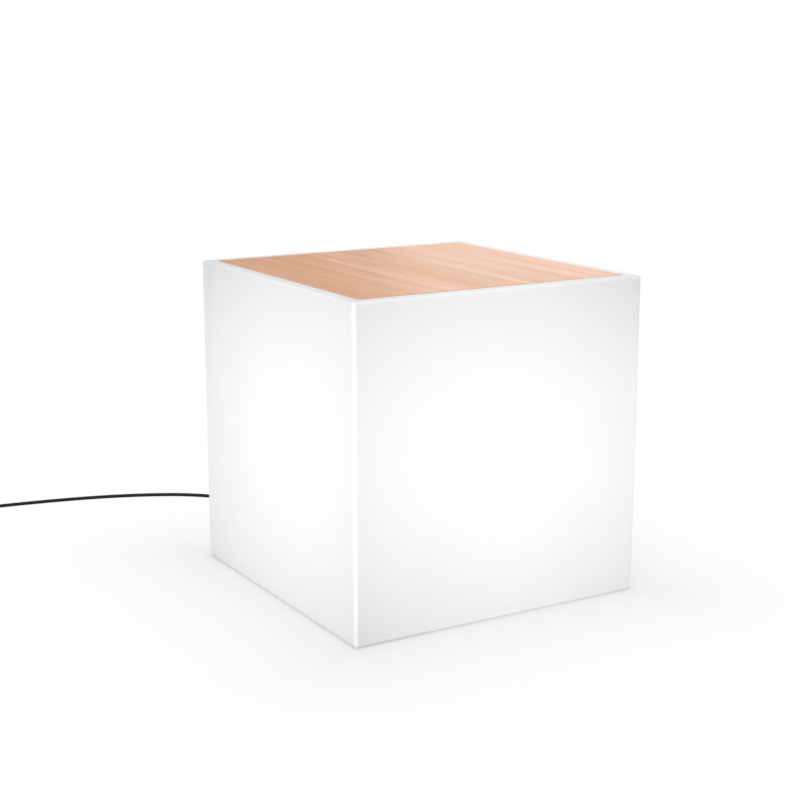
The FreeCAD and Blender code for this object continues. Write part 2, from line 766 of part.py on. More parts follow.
def make_gland():
    """The gland in the well's back wall. Its seal and its bend sleeve grip the lead."""
    wall_face = s.well_length / 2
    collar = wall_face + s.gland_washer_thickness
    collar_end = collar + s.gland_collar
    mouth = collar_end + s.gland_thread_length
    thread = s.gland_thread_radius
    washer = round_bar(s.gland_flats / 2 + s.gland_thread_radius / 10, wall_face, collar)
    node(cut(washer, round_bar(thread + FIT, wall_face, collar)), "gland_washer")

    lock_nut = wall_face - s.well_wall - s.lock_nut_thickness
    inner_end = lock_nut - s.lock_nut_thickness / 2
    seal_start = mouth - s.seal_length
    form = fuse(round_bar(thread, inner_end, mouth), hex_bar(s.gland_flats, collar, collar_end))
    bore = round_bar(s.lead_radius + COLLAR_BORE, inner_end, mouth)
    node(cut(form, bore, round_bar(s.lead_radius + s.seal_wall + FIT, seal_start, mouth)), "gland_body")
    nut_end = wall_face - s.well_wall
    nut = hex_bar(s.gland_flats, lock_nut, nut_end)
    node(cut(nut, round_bar(thread + FIT / 2, lock_nut, nut_end)), "gland_lock_nut")

    # a bush in the gland's mouth, with a flange that the dome nut presses
    seal_end = mouth + s.seal_flange
    bush = round_bar(s.lead_radius + s.seal_wall, seal_start, mouth)
    flange = round_bar(thread - FIT, mouth, seal_end)
    bore = round_bar(s.lead_radius + FIT, seal_start, seal_end)
    node(cut(fuse(bush, flange), bore), "gland_seal")

    # the bend sleeve's flange lies between the seal and the nut's shoulder
    shoulder = seal_end + s.sleeve_flange
    grip = s.lead_radius + FIT
    radii = (s.sleeve_end_radius, s.sleeve_root_radius)
    taper = ribbed_taper(grip, *radii, 0.0, s.sleeve_length, SLEEVE_RIBS)
    exit_y = shoulder + s.sleeve_length
    sleeve = place(revolve(taper), 0.0, exit_y, lead_z, UP_TO_FRONT)
    flange = cut(round_bar(thread - FIT, seal_end, shoulder), round_bar(grip, seal_end, shoulder))
    node(fuse(sleeve, flange), "lead_bend_sleeve")

    # dome nut: a hexagon, then a cone that closes on the sleeve
    nut_start = mouth - s.gland_thread_length + 1.0
    nut_end = nut_start + s.gland_nut_length
    grip_end = nut_start + s.gland_nut_length / 2
    cone = doc.addObject("Part::Cone", "Cone")
    bind(cone, "Radius1", s.gland_flats / 2)
    bind(cone, "Radius2", s.gland_nut_end_radius)
    bind(cone, "Height", nut_end - grip_end)
    place(cone, 0.0, grip_end, lead_z, UP_TO_BACK)
    form = fuse(hex_bar(s.gland_flats, nut_start, grip_end), cone)
    chamber = round_bar(thread + FIT / 2, nut_start, shoulder + FIT)
    outlet = round_bar(s.sleeve_root_radius + FIT * 2, nut_start, nut_end)
    node(cut(form, chamber, outlet), "gland_dome_nut")
    return exit_y


def make_lead_clamp():
    """The jaw that grips the lead inside the well, and its two screws."""
    bottom, top = lead_z + CLAMP_GAP, lead_z + s.clamp_height
    jaw = box(s.clamp_width, s.clamp_length, top - bottom, 0.0, clamp_y, bottom)
    groove = round_bar(s.lead_radius + FIT, clamp_y - s.clamp_length, clamp_y + s.clamp_length)
    sides = (-s.clamp_screw_offset, s.clamp_screw_offset)
    holes = [cylinder(s.clamp_screw_radius + FIT, top - bottom, x, clamp_y, bottom) for x in sides]
    node(cut(jaw, groove, *holes), "lead_clamp")
    size = (s.clamp_screw_radius, s.clamp_screw_length)
    node(group([screw(*size, x, clamp_y, top, False) for x in sides]), "clamp_screws")


# ---------------------------------------------------------------- the pedestal and the lampholder


def make_pedestal():
    bore = s.pedestal_radius - s.pedestal_wall
    flange_top = plate_top + s.pedestal_flange_thickness
    roof = pedestal_top - s.pedestal_flange_thickness
    hole = s.nipple_radius + FIT
    points = [
        (bore, plate_top),
        (s.pedestal_flange_radius, plate_top),
        (s.pedestal_flange_radius, flange_top),
        (s.pedestal_radius, flange_top),
        (s.pedestal_radius, pedestal_top),
        (hole, pedestal_top),
        (hole, roof),
        (bore, roof),
    ]
    body = revolve(points)
    clear = s.pedestal_screw_radius + HOLE_CLEARANCE
    pocket(body, circles(body, pedestal_places, clear, flange_top), s.pedestal_flange_thickness)
    limit = number(bore)
    rounding = s.pedestal_wall / 2
    round_edges(body, rounding, lambda e: at_height(e, pedestal_top) and e.BoundBox.XMax > limit)
    node(fuse(body, gussets(flange_top)), "lamp_pedestal")
    size = (s.pedestal_screw_radius, s.pedestal_screw_length)
    screws = [screw(*size, x, y, flange_top, False) for x, y in pedestal_places]
    node(group(screws), "pedestal_screws")

    nut_z = roof - s.nipple_nut_thickness
    bottom, top = nut_z - s.nipple_end, holder_floor + s.nipple_reach
    node(ring(s.nipple_radius, s.nipple_bore_radius, top - bottom, z=bottom), "threaded_nipple")
    nut = hexagon(s.nipple_nut_flats, s.nipple_nut_thickness, z=nut_z)
    node(cut(nut, cylinder(s.nipple_radius + FIT / 2, s.nipple_nut_thickness, z=nut_z)), "nipple_nut")


def gussets(bottom):
    """Ribs from the flange up the tube, set between the screws."""
    body = new_body()
    inner = s.pedestal_radius - s.pedestal_wall / 2
    top = bottom + s.gusset_height
    corners = [
        (inner, bottom),
        (s.pedestal_flange_radius - s.gusset_setback, bottom),
        (s.pedestal_radius + 1.0, top),
        (inner, top),
    ]
    gusset = pad(body, outline(body, "XZ_Plane", corners), s.gusset_thickness, both_ways=True)
    pattern = body.newObject("PartDesign::PolarPattern", "PolarPattern")
    pattern.Originals = [gusset]
    pattern.Axis = (plane(body, "Z_Axis"), [""])
    pattern.Angle = 360
    pattern.Occurrences = GUSSETS
    body.AllowCompound = True
    body.Tip = pattern
    doc.recompute()
    return body


def make_lampholder():
    outer = s.holder_radius
    inner = outer - s.holder_wall
    base_top = pedestal_top + s.holder_base_height
    hole = s.nipple_radius + FIT / 2
    bevel = s.holder_wall
    base = [
        (hole, pedestal_top),
        (outer - bevel, pedestal_top),
        (outer, pedestal_top + bevel),
        (outer, base_top),
        (inner, base_top),
        (inner, holder_floor),
        (hole, holder_floor),
    ]
    node(revolve(base), "lampholder_base")

    # the skirt stands on the base and reaches into it with a spigot
    spigot_outer = inner - FIT
    spigot_inner = spigot_outer - s.holder_wall
    rim = pedestal_top + s.holder_height
    skirt = [
        (spigot_inner, base_top - s.spigot_length),
        (spigot_outer, base_top - s.spigot_length),
        (spigot_outer, base_top),
        (outer, base_top),
        (outer, rim - bevel),
        (outer - bevel, rim),
        (spigot_inner, rim),
    ]
    node(revolve(skirt), "lampholder_skirt")
    make_insulator(spigot_inner - FIT * 2)
    make_contacts()


def make_insulator(radius):
    """The ceramic cup that carries both contacts, with a hole for each wire."""
    disc_bottom = insulator_top - s.insulator_disc_thickness
    points = [
        (s.insulator_hollow_radius, holder_floor),
        (radius, holder_floor),
        (radius, insulator_top),
        (0.0, insulator_top),
        (0.0, disc_bottom),
        (s.insulator_hollow_radius, disc_bottom),
    ]
    sides = (-s.wire_hole_offset, s.wire_hole_offset)
    size = (s.core_radius + FIT, s.insulator_disc_thickness * 2)
    holes = [cylinder(*size, x, 0.0, disc_bottom - s.insulator_disc_thickness / 2) for x in sides]
    node(cut(revolve(points), *holes), "lampholder_insulator")


def make_contacts():
    inner = s.cap_radius + FIT * 3
    size = (inner + s.thread_contact_wall, inner, s.thread_contact_height)
    node(ring(*size, z=insulator_top), "thread_contact")
    # a spring blade for the lamp's tip: a foot, a stem and a button
    foot = s.centre_contact_radius
    lift = s.centre_contact_height / 6
    points = [
        (0.0, insulator_top),
        (foot, insulator_top),
        (foot, insulator_top + lift),
        (foot / 2, insulator_top + lift),
        (foot / 2, lamp_tip - lift),
        (foot * 0.7, lamp_tip - lift),
        (foot * 0.7, lamp_tip),
        (0.0, lamp_tip),
    ]
    node(revolve(points), "centre_contact")


# ---------------------------------------------------------------- the lamp


def make_lamp():
    node(cylinder(s.tip_radius, s.tip_height, z=lamp_tip), "lamp_tip")
    tip_top = lamp_tip + s.tip_height
    valley = s.cap_radius - s.thread_depth
    inside = valley - s.cap_wall
    inlay = cap_bottom + s.cap_glass_height / 3
    glass = [
        (0.0, tip_top),
        (s.tip_radius, tip_top),
        (inside, cap_bottom),
        (inside, inlay),
        (0.0, inlay),
    ]
    node(revolve(glass), "lamp_cap_glass")

    # screw cap: a shell with a crest for each turn of its thread
    shell = [(inside, cap_bottom), (valley, cap_bottom)]
    turns = int(number(s.cap_length) / number(s.thread_pitch)) - 1
    for i in range(turns):
        start = cap_bottom + s.thread_pitch * (i + 0.5)
        for radius, share in ((valley, 0.0), (s.cap_radius, 0.35), (s.cap_radius, 0.6), (valley, 0.95)):
            shell.append((radius, start + s.thread_pitch * share))
    shell += [(valley, cap_top), (inside, cap_top)]
    node(revolve(shell), "lamp_screw_cap")
    make_lamp_collar()
    make_driver()
    make_globe()


def make_lamp_collar():
    """The funnel between cap and globe, with the heat spreader and the LED board on its ledge."""
    neck, wall, hole = s.neck_radius, s.collar_wall, s.collar_hole_radius
    neck_top = cap_top + s.neck_length
    ledge = collar_top - s.spreader_depth
    seat = s.collar_radius - wall
    points = [
        (hole, cap_top),
        (neck, cap_top),
        (neck, neck_top),
        (s.collar_radius, collar_top - s.collar_band),
        (s.collar_radius, collar_top),
        (seat, collar_top),
        (seat, ledge),
        (seat - s.spreader_depth, ledge),
        (neck - wall, neck_top),
        (neck - wall, cap_top + wall),
        (hole, cap_top + wall),
    ]
    node(revolve(points), "lamp_collar")
    node(cylinder(seat - FIT, s.spreader_thickness, z=ledge), "lamp_heat_spreader")
    board = ledge + s.spreader_thickness
    node(cylinder(seat - s.led_board_margin, s.led_board_thickness, z=board), "lamp_led_board")
    size = (s.led_width, s.led_length, s.led_height)
    top = board + s.led_board_thickness
    places = [(0.0, 0.0)] + polar(s.led_circle_radius, LED_COUNT)
    node(group([box(*size, x, y, top) for x, y in places]), "lamp_leds")


def make_driver():
    """The small circuit board that stands in the lamp's collar, with its two large components."""
    bottom = cap_top + s.collar_wall
    height = s.collar_height - s.collar_wall - s.spreader_depth
    node(box(s.driver_width, s.driver_thickness, height, 0.0, 0.0, bottom), "lamp_driver_board")
    face = s.driver_thickness / 2
    radius = s.capacitor_radius
    capacitor = cylinder(radius, s.capacitor_height, 0.0, face + radius, bottom)
    choke_y = -face - s.choke_depth / 2
    choke = box(s.choke_width, s.choke_depth, s.choke_height, 0.0, choke_y, bottom)
    node(group([capacitor, choke]), "lamp_driver_parts")


def sphere(radius, x=0.0, y=0.0, z=0.0):
    thing = doc.addObject("Part::Sphere", "Sphere")
    bind(thing, "Radius", radius)
    return place(thing, x, y, z)


def make_globe():
    """An opal sphere, open below where it stands on the collar."""
    radius = s.globe_radius
    hollow = sphere(radius - s.globe_wall, z=light_centre)
    below = cylinder(radius, radius, z=collar_top - radius)
    node(cut(sphere(radius, z=light_centre), hollow, below), "lamp_globe")


# ---------------------------------------------------------------- the terminal block


def make_terminal():
    """A block with two brass sleeves. Two screws in each one hold a core and a wire."""
    axis_z = well_floor + s.terminal_height / 2
    start = terminal_y - s.terminal_length / 2
    end = terminal_y + s.terminal_length / 2
    sides = (s.terminal_spacing / -2, s.terminal_spacing / 2)
    screw_ys = (terminal_y - s.terminal_length / 4, terminal_y + s.terminal_length / 4)
    places = [(x, y) for x in sides for y in screw_ys]

    def bar(radius, x):
        return cylinder(radius, end - start, x, start, axis_z, UP_TO_BACK)

    size = (s.terminal_width, s.terminal_length, s.terminal_height)
    block = box(*size, 0.0, terminal_y, well_floor)
    bores = [bar(s.terminal_sleeve_radius + FIT, x) for x in sides]
    shaft = (s.terminal_screw_radius + FIT, s.terminal_height / 2)
    shafts = [cylinder(*shaft, x, y, axis_z) for x, y in places]
    node(cut(block, *bores, *shafts), "terminal_block")
    sleeves = []
    for x in sides:
        tap = (s.terminal_screw_radius + FIT / 2, s.terminal_sleeve_radius)
        taps = [cylinder(*tap, x, y, axis_z) for y in screw_ys]
        sleeves.append(cut(bar(s.terminal_sleeve_radius, x), bar(s.terminal_bore_radius, x), *taps))
    node(group(sleeves), "terminal_sleeves")
    size = (s.terminal_screw_radius, s.terminal_screw_length)
    tip_z = axis_z + s.terminal_bore_radius
    node(group([cylinder(*size, x, y, tip_z) for x, y in places]), "terminal_screws")


# ---------------------------------------------------------------- tubes along routes


def rounded_path(points, label):
    """Straight runs joined by tangent arcs, each arc as large as its two runs allow."""
    edges, radii = [], []
    here = points[0]
    for before, corner, after in zip(points, points[1:], points[2:]):
        into = (corner - before).normalize()
        out = (after - corner).normalize()
        turn = into.getAngle(out)
        reach = 0.45 * min((corner - before).Length, (after - corner).Length)
        radius = reach / math.tan(turn / 2)
        start, end = corner - into * reach, corner + out * reach
        inward = (out - into).normalize()
        middle = corner + inward * (radius / math.cos(turn / 2) - radius)
        edges.append(Part.LineSegment(here, start).toShape())
        edges.append(Part.Arc(start, middle, end).toShape())
        radii.append(radius)
        here = end
    edges.append(Part.LineSegment(here, points[-1]).toShape())
    path = Part.Wire(edges)
    print(f"{label}: {path.Length:.0f} mm long, radii {[round(r) for r in radii]}")
    return path


def tube(path, radius):
    """A round solid along a path, checked against its section times its length."""
    first = path.OrderedEdges[0]
    start = first.valueAt(first.FirstParameter)
    along = first.tangentAt(first.FirstParameter)
    ring_edge = Part.makeCircle(radius, start, along)
    solid = path.makePipeShell([Part.Wire(ring_edge)], True, False)
    share = solid.Volume / (math.pi * radius**2 * path.Length)
    if abs(share - 1) > 0.01:
        raise RuntimeError(f"a tube's volume is {share:.3f} of its section times its length")
    return solid


def shape_node(shape, label):
    feature = doc.addObject("Part::Feature", label)
    feature.Shape = shape
    return node(feature, label)


def make_cores(lead_exit):
    """The lead's inner end with its two cores, and the two wires that climb to the lampholder."""
    end = clamp_y - s.clamp_length
    node(round_bar(s.lead_radius, end, lead_exit), "lead_inner_end")
    core, inner_end = number(s.core_radius), number(end)
    lead_axis, terminal_axis = number(lead_z), number(well_floor + s.terminal_height / 2)
    bore_x, hole_x = number(s.terminal_spacing) / 2, number(s.wire_hole_offset)
    front = number(terminal_y + s.terminal_length / 2)
    back = number(terminal_y - s.terminal_length / 2)
    plate, pedestal = number(plate_top), number(pedestal_top)
    floor, top = number(holder_floor), number(insulator_top)
    grip = number(s.terminal_length) / 5
    rise_y = back + WIRE_WAY_IN
    for side, name in ((-1, "live"), (1, "neutral")):
        route = [
            vector(side * core * 1.3, inner_end, lead_axis),
            vector(side * core * 1.3, inner_end - CORE_SPREAD, lead_axis),
            vector(side * bore_x, front + CORE_SPREAD, terminal_axis),
            vector(side * bore_x, front - grip, terminal_axis),
        ]
        shape_node(tube(rounded_path(route, f"{name}_core"), core), f"{name}_core")
        route = [
            vector(side * bore_x, back + grip, terminal_axis),
            vector(side * bore_x, back - WIRE_LOOP, terminal_axis),
            vector(side * bore_x, back - WIRE_LOOP + 0.5, plate - WIRE_LOOP),
            vector(side * bore_x, rise_y, plate - WIRE_LOOP + 1.0),
            vector(side * (bore_x - 1.0), rise_y + 1.0, plate + WIRE_RISE),
            vector(side * WIRE_APART, 0.0, pedestal - WIRE_GATHER),
            vector(side * WIRE_APART, 0.0, floor + WIRE_LOOP),
            vector(side * hole_x, 0.0, top - WIRE_END_RUN),
            vector(side * hole_x, 0.0, top + 1.0),
        ]
        shape_node(tube(rounded_path(route, f"{name}_wire"), core), f"{name}_wire")


# ---------------------------------------------------------------- the coil of spare lead


def coil_station(share):
    """A point of the coil's centreline and its direction, share layers from its start."""
    sweep = math.radians(COIL_TURN / COIL_LAYERS)
    pitch = 2 * number(s.lead_radius) + number(s.coil_gap)
    steps = STATIONS_PER_LAYER
    outer = number(s.coil_inner) + pitch * sweep / (2 * math.pi)
    angle = math.radians(COIL_START) + sweep * share
    layer = min(int(share + 1e-9), COIL_LAYERS - 1)
    through = share - layer
    inwards = layer % 2 == 0
    radius = outer + (number(s.coil_inner) - outer) * (through if inwards else 1 - through)
    # it climbs half a layer in the last station before a reversal, and half in the first one after it
    z = number(s.lead_radius) + FLOOR_CLEARANCE + pitch * layer
    rise, spin = 0.0, -pitch / (2 * math.pi) * (1 if inwards else -1)
    at_reversal = abs(share - round(share)) < 1e-9 and 0 < round(share) < COIL_LAYERS
    if at_reversal:
        z = number(s.lead_radius) + FLOOR_CLEARANCE + pitch * (round(share) - 0.5)
        rise, spin = pitch / (sweep / steps), 0.0
    across, up = math.cos(angle), math.sin(angle)
    point = vector(number(s.coil_x) + radius * across, number(s.coil_y) + radius * up, z)
    along = vector(spin * across - radius * up, spin * up + radius * across, rise)
    return point, along.normalize()


def arc_between(start, corner, end):
    """The arc from start to end whose tangents meet at the corner, which is as far from both."""
    into, out = (corner - start).normalize(), (end - corner).normalize()
    turn = into.getAngle(out)
    radius = (corner - start).Length / math.tan(turn / 2)
    middle = corner + (out - into).normalize() * (radius / math.cos(turn / 2) - radius)
    return Part.Arc(start, middle, end).toShape(), radius


def biarc(start, start_along, end, end_along):
    """Two arcs that leave the start and reach the end in the given directions."""
    gap = end - start
    both = start_along + end_along
    spread = 2 * (1 - start_along.dot(end_along))
    reach = (-gap.dot(both) + math.sqrt(gap.dot(both) ** 2 + spread * gap.dot(gap))) / spread
    first, second = start + start_along * reach, end - end_along * reach
    middle = (first + second) * 0.5
    return [arc_between(start, first, middle), arc_between(middle, second, end)]


def least_gap(path, radius):
    """The least clear distance between turns of a tube, from points along its path."""
    step = 2.5
    points = path.discretize(Number=int(path.Length / step))
    skip = int(5 * radius / step) + 2
    least = path.Length
    for i, here in enumerate(points):
        for there in points[i + skip:]:
            least = min(least, (here - there).Length)
    return least - 2 * radius


def make_coil():
    """The coil as one unbroken tube, with a straight piece one diameter long at each end."""
    shares = [i / STATIONS_PER_LAYER for i in range(COIL_LAYERS * STATIONS_PER_LAYER + 1)]
    stations = [coil_station(share) for share in shares]
    radius = number(s.lead_radius)
    (first, first_along), (last, last_along) = stations[0], stations[-1]
    entry, leave = first - first_along * radius * 2, last + last_along * radius * 2
    edges, radii = [Part.LineSegment(entry, first).toShape()], []
    for (start, start_along), (end, end_along) in zip(stations, stations[1:]):
        for edge, arc_radius in biarc(start, start_along, end, end_along):
            edges.append(edge)
            radii.append(arc_radius)
    edges.append(Part.LineSegment(last, leave).toShape())
    path = Part.Wire(edges)
    print(f"lead_coil: {path.Length:.0f} mm long, tightest arc {min(radii):.1f} mm, "
          f"least gap to itself {least_gap(path, radius):.2f} mm")
    shape_node(tube(path, radius), "lead_coil")
    return (entry, first_along), (leave, last_along)


def make_lead(lead_exit):
    """The free lead from its exit to the coil, the coil, and the lead from the coil to the plug."""
    (entry, entry_along), (leave, leave_along) = make_coil()
    radius = number(s.lead_radius)
    points = [vector(0.0, number(lead_exit), number(lead_z))]
    points += [vector(*point) for point in LEAD_ROUTE]
    points += [entry - entry_along * LEAD_LAST_RUN, entry]
    shape_node(tube(rounded_path(points, "lead_run"), radius), "lead_run")
    tail = [leave, leave + leave_along * TAIL_FIRST_RUN]
    tail += [leave + vector(*step) for step in TAIL_STEPS]
    shape_node(tube(rounded_path(tail, "lead_tail"), radius), "lead_tail")
    return tail[-1]


# ---------------------------------------------------------------- the plug


def plug_part(thing, start):
    """Lays a piece that was built up the Z axis along -Y, from the lead's end."""
    thing.Placement = FreeCAD.Placement(start, FreeCAD.Rotation(*UP_TO_FRONT))
    return thing


def make_plug(start):
    radii = (s.plug_neck_end_radius, s.plug_neck_root_radius)
    neck = ribbed_taper(0.0, *radii, 0.0, s.plug_neck, PLUG_NECK_RIBS)
    node(plug_part(revolve(neck), start), "plug_bend_protector")

    # body: a slim grip that widens to the face, with two flats
    begin, face, full = s.plug_neck, s.plug_neck + s.plug_length, s.plug_radius
    shares = ((0.42, 0.0), (0.56, 0.06), (0.66, 0.3), (0.78, 0.46), (1.0, 0.62))
    points = [(0.0, begin)]
    points += [(full * across, begin + s.plug_length * along) for across, along in shares]
    points += [(full, face - 1.0), (full - 1.0, face), (0.0, face)]
    slab = box(full * 3, s.plug_thickness, face)
    sides = (s.pin_spacing / -2, s.pin_spacing / 2)
    depth = s.pin_root_length
    seats = [cylinder(s.pin_root_radius + FIT / 2, depth, x, 0.0, face - depth) for x in sides]
    node(plug_part(cut(common(revolve(points), slab), *seats), start), "plug_body")

    # pins: a slimmer root in the body, and a round tip
    pins = []
    for x in sides:
        root_part = cylinder(s.pin_root_radius, depth, x, 0.0, face - depth)
        free = cylinder(s.pin_radius, s.pin_length - s.pin_radius, x, 0.0, face)
        tip = sphere(s.pin_radius, x, 0.0, face + s.pin_length - s.pin_radius)
        pins.append(fuse(root_part, free, tip))
    node(plug_part(group(pins), start), "plug_pins")


# ---------------------------------------------------------------- build, check and write


def check_document():
    doc.recompute()
    for thing in doc.Objects:
        if "Invalid" in thing.State or "Error" in thing.State:
            raise RuntimeError(f"{thing.Name} ({thing.Label}) failed: {thing.State}")
    for thing in nodes:
        shape = thing.Shape
        if shape.isNull() or not shape.isValid() or not shape.Solids:
            raise RuntimeError(f"{thing.Label} has no valid solid")


def write_parts():
    os.makedirs("parts", exist_ok=True)
    for thing in nodes:
        thing.Shape.exportStep(f"parts/{thing.Label}.step")
        bounds = thing.Shape.BoundBox
        print(f"{thing.Label}: {len(thing.Shape.Solids)} solids, {thing.Shape.Volume / 1000:.2f} cm3, "
              f"z {bounds.ZMin:.2f} to {bounds.ZMax:.2f}")


make_cube()
make_top()
make_hatch()
exit_y = make_gland()
make_lead_clamp()
make_pedestal()
make_lampholder()
make_lamp()
make_terminal()
make_cores(exit_y)
make_plug(make_lead(exit_y))
check_document()
write_parts()
print(f"{len(nodes)} nodes, light centre {number(light_centre):.1f} mm above the floor, "
      f"lead exit at y {number(exit_y):.1f}")
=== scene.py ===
"""Looks of the illuminated cube side table: the finish of every piece, its lead, and a pale studio.

Lengths are in metres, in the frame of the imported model: the origin is on the floor under the cube's
middle, +Z is up, -Y is the front face, and the lead leaves at the back, +Y.
"""

import json
import math

import bpy
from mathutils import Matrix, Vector


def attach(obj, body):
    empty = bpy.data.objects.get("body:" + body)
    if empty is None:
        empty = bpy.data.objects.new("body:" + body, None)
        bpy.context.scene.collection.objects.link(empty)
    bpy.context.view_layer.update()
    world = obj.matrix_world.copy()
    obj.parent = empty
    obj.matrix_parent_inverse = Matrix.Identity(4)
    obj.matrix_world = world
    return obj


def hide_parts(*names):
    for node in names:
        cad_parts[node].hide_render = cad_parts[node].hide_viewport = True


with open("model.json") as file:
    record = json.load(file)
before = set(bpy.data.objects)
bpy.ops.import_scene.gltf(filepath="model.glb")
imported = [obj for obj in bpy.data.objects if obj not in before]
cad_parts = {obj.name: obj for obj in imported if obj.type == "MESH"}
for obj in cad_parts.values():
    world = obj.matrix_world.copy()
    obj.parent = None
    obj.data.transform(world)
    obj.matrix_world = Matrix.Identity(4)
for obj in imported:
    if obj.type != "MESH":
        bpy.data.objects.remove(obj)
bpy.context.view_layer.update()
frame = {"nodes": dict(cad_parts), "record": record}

MM = 0.001

# ---------------------------------------------------------------- camera

CAMERA_PLACE = (-1.1636, -1.90308, 0.76234)
CAMERA_HEADING = 30.92  # degrees from +Y towards +X
CAMERA_DIP = 12.719  # degrees below the horizon
CAMERA_LENS = 71.788  # mm
CAMERA_SENSOR = 36.0  # mm wide


def make_camera():
    """A camera where the photo's stood."""
    data = bpy.data.cameras.new("camera")
    data.lens = CAMERA_LENS
    data.sensor_width = CAMERA_SENSOR
    camera = bpy.data.objects.new("camera", data)
    camera.location = CAMERA_PLACE
    camera.rotation_euler = (math.radians(90 - CAMERA_DIP), 0.0, math.radians(-CAMERA_HEADING))
    bpy.context.scene.collection.objects.link(camera)
    bpy.context.scene.camera = camera


# ---------------------------------------------------------------- the lead

LEAD_DIAMETER = 5.7 * MM
LEAD_EXIT = (0.0, 0.080, 0.017)
LEAD_ROUTE = [
    (0.0, 0.092, 0.017),
    (0.0, 0.110, 0.0142),
    (0.0004, 0.134, 0.0066),
    (0.0, 0.158, 0.003),
    (0.0009, 0.195, 0.00295),
    (0.0004, 0.244, 0.00295),
    (-0.0045, 0.298, 0.00295),
    (-0.0155, 0.357, 0.00295),
    (-0.035, 0.4182, 0.00295),
    (-0.0675, 0.482, 0.00295),
    (-0.1217, 0.5383, 0.00295),
    (-0.182, 0.5726, 0.00295),
    (-0.247, 0.5986, 0.00295),
    (-0.313, 0.6168, 0.00295),
    (-0.376, 0.6296, 0.00295),
]
LEAD_LAST_RUN = 44 * MM  # straight into the coil
COIL_CENTRE = (-0.501, 0.6082)
COIL_INNER = 26.8 * MM
COIL_PITCH = 6.3 * MM  # from turn to turn, and from layer to layer
COIL_START = math.radians(79)
COIL_TURN = math.radians(3341)
COIL_LAYERS = 4
COIL_FLOOR = 2.95 * MM  # centreline of the lowest layer
CLIMB_SHARE = 0.1  # of a layer, on each side of a reversal
POINTS_PER_TURN = 18
END_RUN = LEAD_DIAMETER  # straight at each end of the coil
TAIL_FIRST_RUN = 22 * MM
TAIL_STEPS = [(-0.0015, -0.046, -0.0044), (-0.0025, -0.069, -0.0087), (-0.0025, -0.088, -0.0087)]


def coil_station(share, outside=1.0):
    """A point of the coil's centreline and its direction, share layers from its start.

    Layers spiral in and out in turn. Outside moves the point away from the coil's axis.
    """
    sweep = COIL_TURN / COIL_LAYERS
    outer = COIL_INNER + COIL_PITCH * sweep / (2 * math.pi)
    layer = min(int(share + 1e-9), COIL_LAYERS - 1)
    through = share - layer
    inwards = layer % 2 == 0
    radius = outer + (COIL_INNER - outer) * (through if inwards else 1 - through)
    height = COIL_FLOOR + COIL_PITCH * layer
    reversal = round(share)
    off = (share - reversal) / CLIMB_SHARE
    if 0 < reversal < COIL_LAYERS and abs(off) < 1:
        height = COIL_FLOOR + COIL_PITCH * (reversal - 0.5 + 0.5 * math.sin(off * math.pi / 2))
    angle = COIL_START + sweep * share
    across, up = math.cos(angle), math.sin(angle)
    spin = COIL_PITCH / (2 * math.pi) * (-1 if inwards else 1)
    x, y = COIL_CENTRE
    point = Vector((x + radius * outside * across, y + radius * outside * up, height))
    direction = Vector((spin * across - radius * up, spin * up + radius * across, 0.0))
    return point, direction.normalized()


def coil_points():
    """Control points just outside the coil's centreline, which touches the lines between them."""
    count = round(COIL_TURN / (2 * math.pi) * POINTS_PER_TURN)
    outside = 1 / math.cos(COIL_TURN / count / 2)
    return [coil_station(COIL_LAYERS * (i + 0.5) / count, outside)[0] for i in range(count)]


def lead_points():
    """The spline's control points, from the lead's exit to its plug."""
    (first, into), (last, out) = coil_station(0.0), coil_station(COIL_LAYERS)
    entry, leave = first - into * END_RUN, last + out * END_RUN
    points = [Vector(LEAD_EXIT)] + [Vector(point) for point in LEAD_ROUTE]
    points += [entry - into * LEAD_LAST_RUN, entry] + coil_points()
    points += [leave, leave + out * TAIL_FIRST_RUN]
    points += [leave + Vector(step) for step in TAIL_STEPS]
    return points


def make_lead():
    """One spline in place of the part's three nodes for the lead: run, coil and tail."""
    data = bpy.data.curves.new("lead", "CURVE")
    data.dimensions = "3D"
    data.resolution_u = 8
    data.bevel_depth = LEAD_DIAMETER / 2
    data.bevel_resolution = 5
    data.use_fill_caps = True
    points = lead_points()
    spline = data.splines.new("NURBS")
    spline.points.add(len(points) - 1)
    for place, point in zip(spline.points, points):
        place.co = (*point, 1.0)
    spline.order_u = 3
    spline.use_endpoint_u = True
    spline.use_smooth = True
    lead = bpy.data.objects.new("lead", data)
    bpy.context.scene.collection.objects.link(lead)
    lead.data.materials.append(MATERIALS["black_rubber"])
    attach(lead, "cube")
    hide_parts("lead_run", "lead_coil", "lead_tail")


# ---------------------------------------------------------------- material helpers


